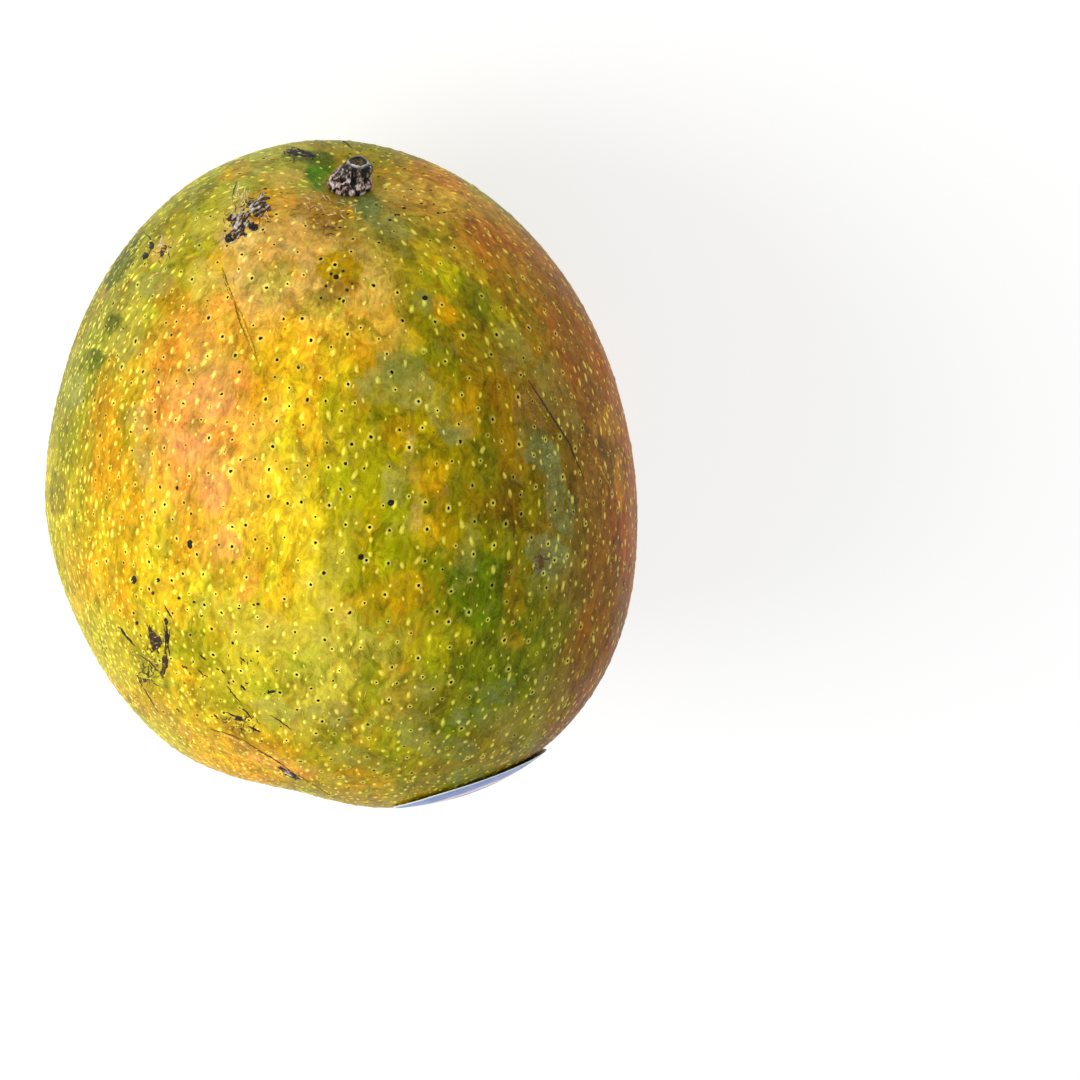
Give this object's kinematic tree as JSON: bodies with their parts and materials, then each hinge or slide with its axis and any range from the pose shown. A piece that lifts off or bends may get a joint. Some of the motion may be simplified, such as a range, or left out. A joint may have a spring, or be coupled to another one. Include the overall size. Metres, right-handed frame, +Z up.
{
  "type": "mango",
  "caption": "Whole ripe mango lying on its back, with a dry stem stub in its basin, a sinus and blunt beak near the tip, and a plain oval produce label.",
  "frame": {"origin": "centre of the bounding box at the surface that the fruit lies on", "axes": "+Y from the tip towards the stem end, +Z up through the belly side, +X towards the right cheek"},
  "size_m": [0.1, 0.118, 0.0941],
  "materials": {
    "mango_skin": "waxy satin skin, green, gold and orange, dotted with pale pores",
    "dry_stem": "dry, rough and weathered",
    "label_film": "smooth coated paper, satin"
  },
  "bodies": {
    "root": {"fruit": "mango_skin", "stem_stub": "dry_stem", "label": "label_film"}
  },
  "joints": []
}
